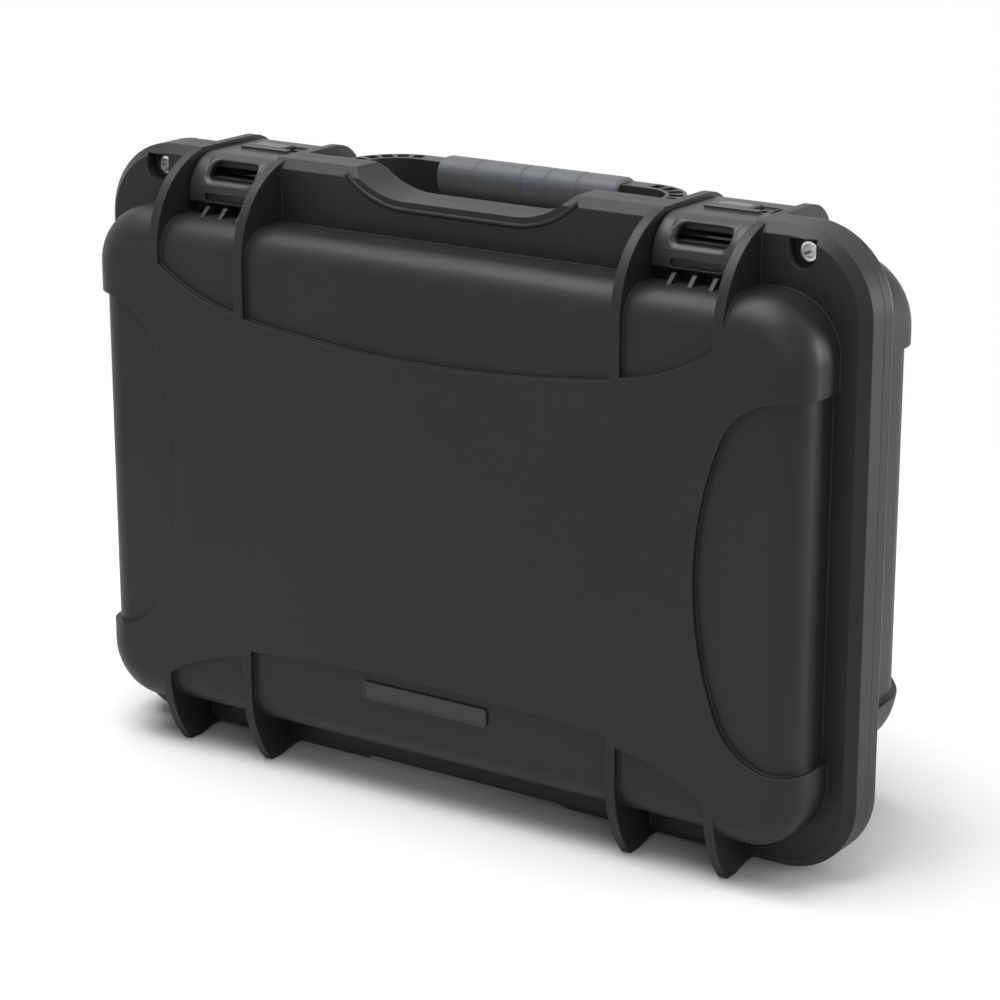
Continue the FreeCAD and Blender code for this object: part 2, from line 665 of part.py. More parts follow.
def build_base_shell():
    raised = new_body("base_raised_face", is_sub_part=False)
    middle = "base_rim_depth / 2"
    draft(pad(raised, "body", "XZ", f"-{middle}", f"base_depth - {middle}", [body_outline(middle, "0")],
              backwards=True))
    ease_edges_at_depth(raised, "body_rounding", "base_depth", "body_edge")
    side_field = side_panel("body_half + overrun")
    pocket(raised, "panels", "XZ", "0", "base_depth + overrun", [side_field, mirrored(side_field)],
           backwards=True)

    base = new_body("base_shell")
    rim = rounded_frame("rim_half", "rim_bottom", "rim_top", "rim_bottom_corner", "rim_top_corner")
    pad(base, "rim", "XZ", "0", "base_rim_depth", [rim], backwards=True)
    ease_edges_at_depth(base, "rim_rounding", "base_rim_depth", "base_rim_edge", "Chamfer")
    inner_depth = "base_depth - panel_recess"
    draft(pad(base, "inner_body", "XZ", f"-{middle}", f"{inner_depth} - {middle}",
              [body_outline(middle, "panel_recess")], backwards=True))
    ease_edges_at_depth(base, "inner_body_rounding", inner_depth, "body_edge - panel_recess")
    join_body(base, "raised_face", raised)

    latch_rib = [
        ("0", "body_top - body_corner"),
        ("base_rib_reach", "body_top - body_corner"),
        ("base_rib_reach + base_rib_arc", "body_top - body_corner"),
        ("base_rib_reach + base_rib_arc", "rim_top - base_rib_arc", "base_rib_arc"),
        ("base_rib_reach", "rim_top"),
        ("0", "rim_top"),
    ]
    hinge_rib = [
        ("base_rim_depth / 2", "rim_bottom"),
        ("base_foot_front", "0"),
        ("base_foot_back", "0"),
        ("base_foot_end", "body_bottom + body_draft"),
        ("base_foot_end", "body_bottom + body_corner"),
        ("base_rim_depth / 2", "body_bottom + body_corner"),
    ]
    lug = [
        ("0", "body_top - body_corner"),
        ("handle_pivot_depth + handle_lug_radius + handle_lug_foot", "body_top - body_corner"),
        ("handle_pivot_depth + handle_lug_radius + handle_lug_foot", "body_top"),
        ("handle_pivot_depth + handle_lug_radius", "handle_pivot_height", "handle_lug_radius"),
        ("handle_pivot_depth", "handle_pivot_height + handle_lug_radius"),
        ("0", "handle_pivot_height + handle_lug_radius"),
    ]
    knuckle_width = "rib_outer - rib_inner - rib_thick - 2 * knuckle_gap"
    for side_name, side in SIDES.items():
        for place in ("rib_inner", "rib_outer"):
            start = on_side(side, f"{place} - rib_thick / 2", f"{place} + rib_thick / 2")
            pad(base, f"latch_{place}_{side_name}", "YZ", start, "rib_thick", [latch_rib])
            pad(base, f"hinge_{place}_{side_name}", "YZ", start, "rib_thick", [hinge_rib])
        start = on_side(side, "handle_lug_start", "handle_lug_end")
        pad(base, f"handle_lug_{side_name}", "YZ", start, "handle_lug_thick", [lug])
    pad(base, "valve_boss", "XY", "body_top - body_corner", "valve_boss_top - body_top + body_corner",
        circles=[("valve_side", "valve_depth", "valve_boss_radius")])

    inside = "panel_recess + wall"
    floor = f"base_depth - ({inside})"
    hollow = new_body("base_hollow", is_sub_part=False)
    draft(pad(hollow, "space", "XZ", "overrun", f"{floor} + overrun", [body_outline("-overrun", inside)],
              backwards=True))
    ease_edges_at_depth(hollow, "space_rounding", floor, f"body_edge - ({inside})", "Chamfer")
    join_body(base, "cavity", hollow, "Cut")

    bay_width = "rib_outer - rib_inner - rib_thick"
    bay_space = block("-overrun", "base_rim_depth + overrun", "base_bay_floor", "rim_top + overrun")
    for side_name, side in SIDES.items():
        start = on_side(side, "rib_inner + rib_thick / 2", "rib_outer - rib_thick / 2")
        pocket(base, f"latch_bay_{side_name}", "YZ", start, bay_width, [bay_space])
        for place in ("rib_inner", "rib_outer"):
            reach = "rib_thick / 2 + knuckle_gap"
            ear_start = on_side(side, f"{place} - ({reach})", f"{place} + {reach}")
            pocket(base, f"ear_space_{place}_{side_name}", "YZ", ear_start, f"2 * ({reach})",
                   circles=[("0", "hinge_height", "knuckle_radius + knuckle_gap")])
        knuckle_start = on_side(side, "rib_inner + rib_thick / 2 + knuckle_gap",
                                "rib_outer - rib_thick / 2 - knuckle_gap")
        pad(base, f"knuckle_{side_name}", "YZ", knuckle_start, knuckle_width,
            circles=[("0", "hinge_height", "knuckle_radius")])
    pocket(base, "scoop", "XZ", "overrun", "base_rim_depth + 2 * overrun", [scoop()], backwards=True)
    pocket(base, "bushing_holes", "XZ", "overrun", "base_rim_depth + 2 * overrun",
           circles=bushing_circles("bushing_radius + pin_gap"), backwards=True)
    pocket(base, "rim_relief", "XZ", "overrun", "base_rim_depth + 2 * overrun", [rim_relief()], backwards=True)
    for side_name, side in SIDES.items():
        start = on_side(side, "rib_inner - rib_thick", "rib_outer + rib_thick")
        pocket(base, f"hinge_bore_{side_name}", "YZ", start, "rib_span + 2 * rib_thick",
               circles=[("0", "hinge_height", "hinge_pin_radius + pin_gap")])
        pocket(base, f"latch_bore_{side_name}", "YZ", start, "rib_span + 2 * rib_thick",
               circles=[("latch_pivot_depth", "latch_pivot_height", "latch_pin_radius + pin_gap")])
        lug_start = on_side(side, "handle_lug_start - part_gap", "handle_lug_end + part_gap")
        pocket(base, f"handle_bore_{side_name}", "YZ", lug_start, "handle_lug_thick + 2 * part_gap",
               circles=[("handle_pivot_depth", "handle_pivot_height", "handle_pin_radius + pin_gap")])
    pocket(base, "valve_hole", "XY", "body_top - body_corner", "body_corner + overrun",
           circles=[("valve_side", "valve_depth", "valve_stem_radius + pin_gap")])


def build_latch(side_name, side):
    low = "rib_inner + rib_thick / 2 + lever_side_gap"
    high = "rib_outer - rib_thick / 2 - lever_side_gap"
    start = on_side(side, low, high)
    width = "rib_outer - rib_inner - rib_thick - 2 * lever_side_gap"
    middle = "(rib_inner + rib_outer) / 2" if side > 0 else "-(rib_inner + rib_outer) / 2"
    lever = new_body(f"latch_lever_{side_name}")
    under = "(lever_arc - lever_thick)"
    lift = f"sqrt({under} * {under} - (jaw_back - lever_bend) * (jaw_back - lever_bend))"
    plate = [
        ("latch_pivot_depth", "lever_top - lever_thick"),
        ("latch_pivot_depth", "lever_top"),
        ("-lever_bend", "lever_top", "lever_arc"),
        ("-lever_front", "lever_shoulder"),
        ("-lever_front", "lever_bar_bottom + lever_bar_round", "lever_bar_round"),
        ("-(lever_front - lever_bar_round)", "lever_bar_bottom"),
        ("-lever_bar_back", "lever_bar_bottom"),
        ("-lever_bar_back", "lid_bay_floor + jaw_gap"),
        ("-jaw_back", "lid_bay_floor + jaw_gap"),
        ("-jaw_back", f"lever_shoulder + {lift}", under, "right"),
        ("-lever_bend", "lever_top - lever_thick"),
    ]
    pad(lever, "plate", "YZ", start, width, [plate])
    pad(lever, "barrel", "YZ", start, width,
        circles=[("latch_pivot_depth", "latch_pivot_height", "lever_barrel_radius")])
    pad(lever, "barrel_web", "YZ", start, width,
        [block("latch_pivot_depth - lever_barrel_radius / 2", "latch_pivot_depth + lever_barrel_radius / 2",
               "latch_pivot_height", "lever_top")])
    window_top = "lever_top - window_drop"
    window = rounded_block(f"{middle} - window_width / 2", f"{middle} + window_width / 2",
                           f"{window_top} - window_height", window_top, "window_corner")
    pocket(lever, "window", "XZ", "catch_front - catch_thick",
           "lever_front - catch_front + catch_thick + overrun", [window])
    skin = "(lever_arc - window_lip_depth)"
    lip_low = f"({window_top} - window_height - window_lip)"
    lip_high = f"({window_top} + window_lip)"
    ahead = "-(lever_front + overrun)"
    lip = [
        (ahead, lip_low),
        (f"-(lever_bend + sqrt({skin} * {skin} - ({lip_low} - lever_shoulder) * ({lip_low} - lever_shoulder)))",
         lip_low, skin, "right"),
        (f"-(lever_bend + sqrt({skin} * {skin} - ({lip_high} - lever_shoulder) * ({lip_high} - lever_shoulder)))",
         lip_high),
        (ahead, lip_high),
    ]
    pocket(lever, "window_lip", "YZ", f"{middle} - window_width / 2 - window_lip",
           "window_width + 2 * window_lip", [lip])
    notch_low = "lever_bar_bottom + notch_lip"
    notch = rounded_block(f"{middle} - notch_width / 2", f"{middle} + notch_width / 2", notch_low,
                          f"{notch_low} + notch_height", "notch_corner")
    pocket(lever, "notch", "XZ", "lever_front - notch_depth", "notch_depth + overrun", [notch])
    bridge_back = "slide_depth - slide_width / 2 - fit_gap - bridge_gap"
    bridge = block(f"{middle} - bridge_width / 2", f"{middle} + bridge_width / 2",
                   f"{bridge_back} - bridge_length", bridge_back)
    pad(lever, "bridge", "XY", "lever_top - bridge_rise", "2 * bridge_rise", [bridge])
    hole_start = f"{middle} + (slide_length + slide_travel) / 2 + lock_hole_gap"
    hole = block(hole_start, f"{hole_start} + lock_hole_width", "slide_depth - lock_hole_length / 2",
                 "slide_depth + lock_hole_length / 2")
    pocket(lever, "lock_hole", "XY", "lever_top - lever_thick - overrun", "lever_thick + 2 * overrun", [hole])
    pocket(lever, "pin_bore", "YZ", f"{start} - overrun", f"{width} + 2 * overrun",
           circles=[("latch_pivot_depth", "latch_pivot_height", "latch_pin_radius + pin_gap")])
    slot = slide_profile("fit_gap")
    slot_length = "slide_length + slide_travel + 2 * fit_gap"
    pocket(lever, "slide_slot", "YZ", f"{middle} - ({slot_length}) / 2", slot_length, [slot])

    slide = new_body(f"latch_slide_{side_name}")
    pad(slide, "slide", "YZ", f"{middle} - (slide_length + slide_travel) / 2", "slide_length",
        [slide_profile("0")])

    pin = new_body(f"latch_pin_{side_name}")
    pin_start = on_side(side, "rib_inner - rib_thick / 2", "rib_outer + rib_thick / 2")
    pad(pin, "pin", "YZ", pin_start, "rib_outer - rib_inner + rib_thick",
        circles=[("latch_pivot_depth", "latch_pivot_height", "latch_pin_radius")])


def slide_profile(gap):
    """Section of the lock slide: a foot held under the lever's top, and a narrower thumb piece."""
    foot = f"(slide_foot_width / 2 + {gap})"
    neck = f"(slide_width / 2 + {gap})"
    foot_top = f"lever_top - slide_neck + {gap}"
    foot_bottom = f"lever_top - slide_neck - slide_foot_thick - {gap}"
    top = f"lever_top + slide_proud + {gap}"
    return [
        (f"slide_depth - {foot}", foot_bottom),
        (f"slide_depth + {foot}", foot_bottom),
        (f"slide_depth + {foot}", foot_top),
        (f"slide_depth + {neck}", foot_top),
        (f"slide_depth + {neck}", top),
        (f"slide_depth - {neck}", top),
        (f"slide_depth - {neck}", foot_top),
        (f"slide_depth - {foot}", foot_top),
    ]


def build_hinge_pin(side_name, side):
    pin = new_body(f"hinge_pin_{side_name}")
    start = on_side(side, "rib_inner - rib_thick / 2", "rib_outer + rib_thick / 2")
    pad(pin, "pin", "YZ", start, "rib_outer - rib_inner + rib_thick",
        circles=[("0", "hinge_height", "hinge_pin_radius")])


def build_handle():
    frame = new_body("handle_frame")
    inner = "(handle_arm_outer - handle_arm_width)"
    crown = "(grip_depth + bar_width / 2)"
    hollow = "(grip_depth - bar_width / 2)"
    inner_bow = "(handle_bow - bar_width)"
    bow = [
        ("handle_arm_outer", "handle_pivot_depth"),
        ("handle_arm_outer", f"{crown} - handle_bow", "handle_bow"),
        ("handle_arm_outer - handle_bow", crown),
        ("-(handle_arm_outer - handle_bow)", crown, "handle_bow"),
        ("-handle_arm_outer", f"{crown} - handle_bow"),
        ("-handle_arm_outer", "handle_pivot_depth"),
        (f"-{inner}", "handle_pivot_depth"),
        (f"-{inner}", f"{hollow} - {inner_bow}", inner_bow, "right"),
        (f"-({inner} - {inner_bow})", hollow),
        (f"{inner} - {inner_bow}", hollow, inner_bow, "right"),
        (inner, f"{hollow} - {inner_bow}"),
        (inner, "handle_pivot_depth"),
    ]
    pad(frame, "bow", "XY", "handle_pivot_height - handle_thick / 2", "handle_thick", [bow])
    for side_name, side in SIDES.items():
        start = on_side(side, inner, "handle_arm_outer")
        pad(frame, f"end_{side_name}", "YZ", start, "handle_arm_width",
            circles=[("handle_pivot_depth", "handle_pivot_height", "handle_end_radius")])
    pocket(frame, "pin_bore", "YZ", "-(handle_arm_outer + overrun)", "2 * (handle_arm_outer + overrun)",
           circles=[("handle_pivot_depth", "handle_pivot_height", "handle_pin_radius + pin_gap")])

    grip = new_body("handle_grip")
    low = "handle_pivot_height - grip_height / 2"
    high = "handle_pivot_height + grip_height / 2"
    sleeve = rounded_block("grip_depth - grip_width / 2", "grip_depth + grip_width / 2", low, high,
                           "grip_corner")
    bore = block("grip_depth - bar_width / 2 - grip_fit", "grip_depth + bar_width / 2 + grip_fit",
                 "handle_pivot_height - handle_thick / 2 - grip_fit",
                 "handle_pivot_height + handle_thick / 2 + grip_fit")
    pad(grip, "sleeve", "YZ", "-grip_half", "2 * grip_half", [sleeve, bore])

    for side_name, side in SIDES.items():
        pin = new_body(f"handle_pin_{side_name}")
        outer = "handle_lug_end"
        pad(pin, "pin", "YZ", on_side(side, inner, outer), f"{outer} - {inner}",
            circles=[("handle_pivot_depth", "handle_pivot_height", "handle_pin_radius")])


def build_bushings(side_name, side):
    place = "bushing_side" if side > 0 else "-bushing_side"
    rings = [(place, "bushing_height", "bushing_radius"), (place, "bushing_height", "bushing_bore")]
    lid_bushing = new_body(f"lid_bushing_{side_name}")
    pad(lid_bushing, "ring", "XZ", "part_gap", "bushing_floor + bushing_proud - part_gap",
        circles=rings)
    base_bushing = new_body(f"base_bushing_{side_name}")
    pad(base_bushing, "ring", "XZ", "0", "base_rim_depth", circles=rings, backwards=True)


def build_valve():
    centre = ("valve_side", "valve_depth")
    wall_low = "body_top - body_draft * valve_depth / base_depth - panel_recess - wall"
    flange_low = f"{wall_low} - fit_gap - valve_flange_thick - body_draft * valve_flange_radius / base_depth"
    stem = new_body("pressure_valve_body")
    pad(stem, "flange", "XY", flange_low, "valve_flange_thick", circles=[centre + ("valve_flange_radius",)])
    pad(stem, "stem", "XY", flange_low, f"valve_boss_top - ({flange_low})",
        circles=[centre + ("valve_stem_radius",)])
    seal = new_body("pressure_valve_seal")
    pad(seal, "ring", "XY", "valve_boss_top", "valve_seal_thick",
        circles=[centre + ("valve_cap_radius - valve_seal_thick",), centre + ("valve_stem_radius",)])
    cap = new_body("pressure_valve_cap")
    pad(cap, "disc", "XY", "valve_boss_top + valve_seal_thick", "valve_cap_thick",
        circles=[centre + ("valve_cap_radius",)])
    pad(cap, "plug", "XY", "valve_boss_top", "valve_seal_thick",
        circles=[centre + ("valve_stem_radius - fit_gap",)])


def build_nameplate():
    plate = new_body("nameplate")
    pad(plate, "plate", "XZ", "lid_depth - panel_recess", "plate_thick",
        [rounded_block("-plate_half", "plate_half", "plate_bottom", "plate_top", "plate_corner")])


build_base_shell()
build_lid_shell()
build_lid_gasket()
for side_name, side in SIDES.items():
    build_hinge_pin(side_name, side)
    build_latch(side_name, side)
    build_bushings(side_name, side)
build_handle()
build_valve()
build_nameplate()
doc.recompute()

for item in doc.Objects:
    if "Invalid" in item.State or "Error" in item.State:
        raise RuntimeError(f"{item.Name} failed: {item.State}")
for body in sub_parts:
    if body.Shape.isNull() or not body.Shape.isValid() or len(body.Shape.Solids) != 1:
        raise RuntimeError(f"{body.Label} is not one valid solid")

os.makedirs("parts", exist_ok=True)
for body in sub_parts:
    body.Shape.exportStep(f"parts/{body.Label}.step")
    print(body.Label, round(body.Shape.Volume), body.Shape.BoundBox)
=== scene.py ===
import json
import math
import bmesh
import bpy
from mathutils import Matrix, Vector


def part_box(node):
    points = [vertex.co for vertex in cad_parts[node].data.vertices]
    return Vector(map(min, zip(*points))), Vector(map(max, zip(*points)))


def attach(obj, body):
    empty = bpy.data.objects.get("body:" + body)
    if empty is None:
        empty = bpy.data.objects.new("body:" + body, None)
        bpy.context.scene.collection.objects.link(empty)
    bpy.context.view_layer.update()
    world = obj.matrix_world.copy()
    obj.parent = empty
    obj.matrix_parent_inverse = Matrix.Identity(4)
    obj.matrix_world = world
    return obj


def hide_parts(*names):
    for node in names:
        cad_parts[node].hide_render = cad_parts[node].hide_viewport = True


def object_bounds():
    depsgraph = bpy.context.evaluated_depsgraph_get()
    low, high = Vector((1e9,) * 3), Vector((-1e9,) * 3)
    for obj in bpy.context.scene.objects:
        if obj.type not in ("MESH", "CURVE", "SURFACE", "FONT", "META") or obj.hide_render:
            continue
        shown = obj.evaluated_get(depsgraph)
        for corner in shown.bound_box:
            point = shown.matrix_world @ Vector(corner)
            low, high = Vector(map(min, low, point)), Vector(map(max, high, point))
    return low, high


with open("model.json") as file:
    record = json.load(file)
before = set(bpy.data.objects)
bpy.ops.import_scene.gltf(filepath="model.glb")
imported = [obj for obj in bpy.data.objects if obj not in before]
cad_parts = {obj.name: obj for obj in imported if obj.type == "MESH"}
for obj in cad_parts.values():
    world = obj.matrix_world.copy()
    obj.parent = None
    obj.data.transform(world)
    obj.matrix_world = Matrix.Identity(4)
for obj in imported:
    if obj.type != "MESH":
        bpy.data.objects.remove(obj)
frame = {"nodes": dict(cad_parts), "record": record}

cad_low, cad_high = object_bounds()

MM = 0.001
SLOT_OF = {part["node"]: part["material_slot"] for part in frame["record"]["subparts"]}
BODY_OF = {node: body for body, nodes in frame["record"]["behaviour"]["bodies"].items() for node in nodes}

# Camera at the photograph's angle
CAMERA_PLACE = Vector((0.8874, -1.3227, 0.6376))
CAMERA_TURN = 34.0
CAMERA_PITCH = 16.86
CAMERA_LENS = 110.62

# Studio
FLOOR_HALF = 12.0
FLOOR_SHADE = 0.74
SHADOW_NEAR = 0.34
SHADOW_FAR = 0.80
WORLD_DIM = 0.12
WORLD_BRIGHT = 0.95
WORLD_BRIGHT_SIDE = (0.75, 0.30, 0.60)
WORLD_DIM_FACING = -0.35
WORLD_BRIGHT_FACING = 0.95

# Finishes
BEVEL_SAMPLES = 6
EDGE_NONE = 0.995
EDGE_FULL = 0.80
FLOW_SCALE = 9.0
FLOW_SPREAD = 0.08
SCUFF_SCALE = 60.0
GLOSS_SCALE = 35.0
GLOSS_SPREAD = 0.16
CELL_SCALE_SHARE = 0.55
CELL_HEIGHT = 0.6
FINE_HEIGHT = 0.7
RESIN_IOR = 1.48
STEEL_MARK_SCALE = 1800.0
STEEL_MARK_DEPTH = 0.004 * MM
STEEL_EDGE = 0.3 * MM
STEEL_DARK = (0.50, 0.50, 0.51, 1)
STEEL_LIGHT = (0.64, 0.64, 0.64, 1)

# Meshes
WELD_GAP = 0.002 * MM
SHARP_TURN = math.radians(28)


def add_camera():
    """Camera fitted to the photograph."""
    data = bpy.data.cameras.new("photo_camera")
    data.lens = CAMERA_LENS
    camera = bpy.data.objects.new("photo_camera", data)
    camera.location = CAMERA_PLACE
    camera.rotation_euler = (math.radians(90 - CAMERA_PITCH), 0, math.radians(CAMERA_TURN))
    bpy.context.collection.objects.link(camera)
    bpy.context.scene.camera = camera


def add_lamp(name, place, aim, size, power):
    """Soft rectangular lamp that faces a place."""
    data = bpy.data.lights.new(name, "AREA")
    data.shape = "RECTANGLE"
    data.size, data.size_y = size
    data.energy = power
    lamp = bpy.data.objects.new(name, data)
    lamp.location = place
    lamp.rotation_euler = (Vector(aim) - Vector(place)).to_track_quat("-Z", "Y").to_euler()
    bpy.context.collection.objects.link(lamp)


class Nodes:
    """Short way to add and join the nodes of one material or world."""

    def __init__(self, tree):
        self.tree = tree
        tree.nodes.clear()

    def add(self, kind, links=None, **settings):
        node = self.tree.nodes.new(kind)
        for name, setting in settings.items():
            setattr(node, name, setting)
        for socket, source in (links or {}).items():
            self.set(node.inputs[socket], source)
        return node

    def set(self, socket, source):
        if isinstance(source, bpy.types.NodeSocket):
            self.tree.links.new(source, socket)
        else:
            socket.default_value = source

    def math(self, operation, first, second=0.0, third=0.0, clamp=False):
        node = self.add("ShaderNodeMath", operation=operation, use_clamp=clamp)
        for socket, source in zip(node.inputs, (first, second, third)):
            self.set(socket, source)
        return node.outputs[0]

    def ramp(self, amount, low, high, start=0.0, end=1.0):
        """Smooth step of an amount between two limits, given as a share from start to end."""
        node = self.add("ShaderNodeMapRange", interpolation_type="SMOOTHSTEP")
        for name, source in (("Value", amount), ("From Min", low), ("From Max", high),
                             ("To Min", start), ("To Max", end)):
            self.set(node.inputs[name], source)
        return node.outputs["Result"]

    def blend(self, share, first, second):
        """Colour between two colours."""
        node = self.add("ShaderNodeMix", data_type="RGBA")
        self.set(node.inputs[0], share)
        self.set(node.inputs[6], first)
        self.set(node.inputs[7], second)
        return node.outputs[2]

    def noise(self, place, scale, detail=3.0, roughness=0.55):
        node = self.add("ShaderNodeTexNoise", {"Vector": place, "Scale": scale, "Detail": detail,
                                               "Roughness": roughness})
        return node.outputs["Fac"]

    def bump(self, height, depth, normal=None):
        node = self.add("ShaderNodeBump", {"Height": height, "Distance": depth, "Strength": 1.0})
        if normal is not None:
            self.set(node.inputs["Normal"], normal)
        return node.outputs["Normal"]


def add_floor():
    """Pale floor that keeps the shadow near the case and is plain white further out."""
    material = bpy.data.materials.new("pale_floor")
    material.use_nodes = True
    nodes = Nodes(material.node_tree)
    place = nodes.add("ShaderNodeTexCoord").outputs["Object"]
    distance = nodes.add("ShaderNodeVectorMath", {0: place}, operation="LENGTH").outputs["Value"]
    faded = nodes.ramp(distance, SHADOW_NEAR, SHADOW_FAR)
    path = nodes.add("ShaderNodeLightPath")
    seen = nodes.math("MAXIMUM", path.outputs["Is Camera Ray"], path.outputs["Is Glossy Ray"])
    seen = nodes.math("MAXIMUM", seen, path.outputs["Is Transmission Ray"])
    paper = nodes.add("ShaderNodeBsdfDiffuse", {"Color": (FLOOR_SHADE, FLOOR_SHADE, FLOOR_SHADE, 1)})
    glow = nodes.add("ShaderNodeEmission", {"Color": (1, 1, 1, 1), "Strength": 1.0})
    mix = nodes.add("ShaderNodeMixShader", {0: nodes.math("MULTIPLY", seen, faded),
                                            1: paper.outputs[0], 2: glow.outputs[0]})
    nodes.add("ShaderNodeOutputMaterial", {"Surface": mix.outputs[0]})
    mesh = bpy.data.meshes.new("floor")
    half = FLOOR_HALF
    mesh.from_pydata([(-half, -half, 0), (half, -half, 0), (half, half, 0), (-half, half, 0)], [],
                     [(0, 1, 2, 3)])
    mesh.materials.append(material)
    floor = bpy.data.objects.new("floor", mesh)
    bpy.context.collection.objects.link(floor)


def add_world():
    """White background, with light for the case that is stronger from its right, back and top."""
    world = bpy.data.worlds.new("studio")
    bpy.context.scene.world = world
    world.use_nodes = True
    nodes = Nodes(world.node_tree)
    path = nodes.add("ShaderNodeLightPath")
    seen = nodes.math("MAXIMUM", path.outputs["Is Camera Ray"], path.outputs["Is Glossy Ray"])
    seen = nodes.math("MAXIMUM", seen, path.outputs["Is Transmission Ray"])
    direction = nodes.add("ShaderNodeTexCoord").outputs["Generated"]
    facing = nodes.add("ShaderNodeVectorMath", {0: direction, 1: WORLD_BRIGHT_SIDE},
                       operation="DOT_PRODUCT").outputs["Value"]
    light = nodes.ramp(facing, WORLD_DIM_FACING, WORLD_BRIGHT_FACING, WORLD_DIM, WORLD_BRIGHT)
    strength = nodes.math("MAXIMUM", seen, light)
    sky = nodes.add("ShaderNodeBackground", {"Color": (1, 1, 1, 1), "Strength": strength})
    nodes.add("ShaderNodeOutputWorld", {"Surface": sky.outputs[0]})


def new_material(name):
    """Empty node material and the means to fill it."""
    material = bpy.data.materials.new(name)
    material.use_nodes = True
    return material, Nodes(material.node_tree)


def rounded_normal(nodes, radius):
    """Normal that rounds sharp edges, and a mask of where it does."""
    soft = nodes.add("ShaderNodeBevel", {"Radius": radius}, samples=BEVEL_SAMPLES).outputs["Normal"]
    plain = nodes.add("ShaderNodeNewGeometry").outputs["Normal"]
    match = nodes.add("ShaderNodeVectorMath", {0: soft, 1: plain}, operation="DOT_PRODUCT")
    return soft, nodes.ramp(match.outputs["Value"], EDGE_NONE, EDGE_FULL)


def moulded_plastic(name, shade, edge_wear_and_highlight, roughness, grain, grain_depth, edge_radius, sheen=0.5):
    """Moulded resin: a fine spark-eroded grain, faint flow marks, and edges lightened partly as rubbed wear
    and partly as a painted highlight.
    """
    material, nodes = new_material(name)
    place = nodes.add("ShaderNodeTexCoord").outputs["Object"]
    soft, edge = rounded_normal(nodes, edge_radius)
    flow = nodes.noise(place, FLOW_SCALE, 4.0)
    fine = nodes.noise(place, grain, 2.0)
    cells = nodes.add("ShaderNodeTexVoronoi", {"Vector": place, "Scale": grain * CELL_SCALE_SHARE},
                      feature="SMOOTH_F1").outputs["Distance"]
    darker = (*[tone * (1 - FLOW_SPREAD) for tone in shade], 1)
    lighter = (*[tone * (1 + FLOW_SPREAD) for tone in shade], 1)
    base = nodes.blend(nodes.ramp(flow, 0.3, 0.7), darker, lighter)
    scuffs = nodes.ramp(nodes.noise(place, SCUFF_SCALE, 6.0, 0.7), 0.48, 0.75)
    # Edges, broken up by scuffs, blend toward a lighter colour: partly rubbed wear, partly a painted
    # highlight along the edges.
    wear_and_highlight = nodes.math("MULTIPLY", edge, nodes.math("MULTIPLY_ADD", scuffs, 0.6, 0.4))
    colour = nodes.blend(wear_and_highlight, base, (*edge_wear_and_highlight, 1))
    gloss = nodes.math("MULTIPLY_ADD", nodes.noise(place, GLOSS_SCALE, 5.0), GLOSS_SPREAD,
                       roughness - GLOSS_SPREAD / 2)
    height = nodes.math("MULTIPLY_ADD", cells, CELL_HEIGHT, nodes.math("MULTIPLY", fine, FINE_HEIGHT))
    normal = nodes.bump(height, grain_depth, soft)
    shader = nodes.add("ShaderNodeBsdfPrincipled", {"Base Color": colour, "Roughness": gloss,
                                                    "Normal": normal, "IOR": RESIN_IOR,
                                                    "Specular IOR Level": sheen})
    nodes.add("ShaderNodeOutputMaterial", {"Surface": shader.outputs[0]})
    return material


def polished_steel(name):
    """Bright polished stainless with faint turning marks."""
    material, nodes = new_material(name)
    place = nodes.add("ShaderNodeTexCoord").outputs["Object"]
    soft = rounded_normal(nodes, STEEL_EDGE)[0]
    marks = nodes.noise(place, STEEL_MARK_SCALE, 2.0)
    colour = nodes.blend(marks, STEEL_DARK, STEEL_LIGHT)
    gloss = nodes.math("MULTIPLY_ADD", marks, 0.08, 0.12)
    normal = nodes.bump(marks, STEEL_MARK_DEPTH, soft)
    shader = nodes.add("ShaderNodeBsdfPrincipled", {"Base Color": colour, "Metallic": 1.0,
                                                    "Roughness": gloss, "Normal": normal})
    nodes.add("ShaderNodeOutputMaterial", {"Surface": shader.outputs[0]})
    return material


MATERIALS = {
    "case_plastic": moulded_plastic(
        "case_plastic", shade=(0.0125, 0.0125, 0.0128), edge_wear_and_highlight=(0.044, 0.044, 0.046), roughness=0.44,
        grain=2600.0, grain_depth=0.05 * MM, edge_radius=0.9 * MM, sheen=0.24),
    "latch_plastic": moulded_plastic(
        "latch_plastic", shade=(0.018, 0.018, 0.0185), edge_wear_and_highlight=(0.06, 0.06, 0.062), roughness=0.40,
        grain=3400.0, grain_depth=0.03 * MM, edge_radius=0.7 * MM, sheen=0.34),
    # The slide's light edge colour is mostly a painted highlight along its border edges, with some rubbed
    # wear.
    "slide_plastic": moulded_plastic(
        "slide_plastic", shade=(0.085, 0.095, 0.098), edge_wear_and_highlight=(0.46, 0.48, 0.49), roughness=0.34,
        grain=3400.0, grain_depth=0.015 * MM, edge_radius=0.7 * MM),
    "grip_rubber": moulded_plastic(
        "grip_rubber", shade=(0.074, 0.080, 0.085), edge_wear_and_highlight=(0.11, 0.116, 0.12), roughness=0.55,
        grain=1900.0, grain_depth=0.06 * MM, edge_radius=0.8 * MM, sheen=0.4),
    "seal_rubber": moulded_plastic(
        "seal_rubber", shade=(0.018, 0.018, 0.018), edge_wear_and_highlight=(0.03, 0.03, 0.03), roughness=0.7,
        grain=1500.0, grain_depth=0.04 * MM, edge_radius=0.4 * MM),
    "plate_plastic": moulded_plastic(
        "plate_plastic", shade=(0.008, 0.008, 0.009), edge_wear_and_highlight=(0.05, 0.05, 0.052), roughness=0.26,
        grain=3800.0, grain_depth=0.008 * MM, edge_radius=0.5 * MM),
    "steel": polished_steel("steel"),
}

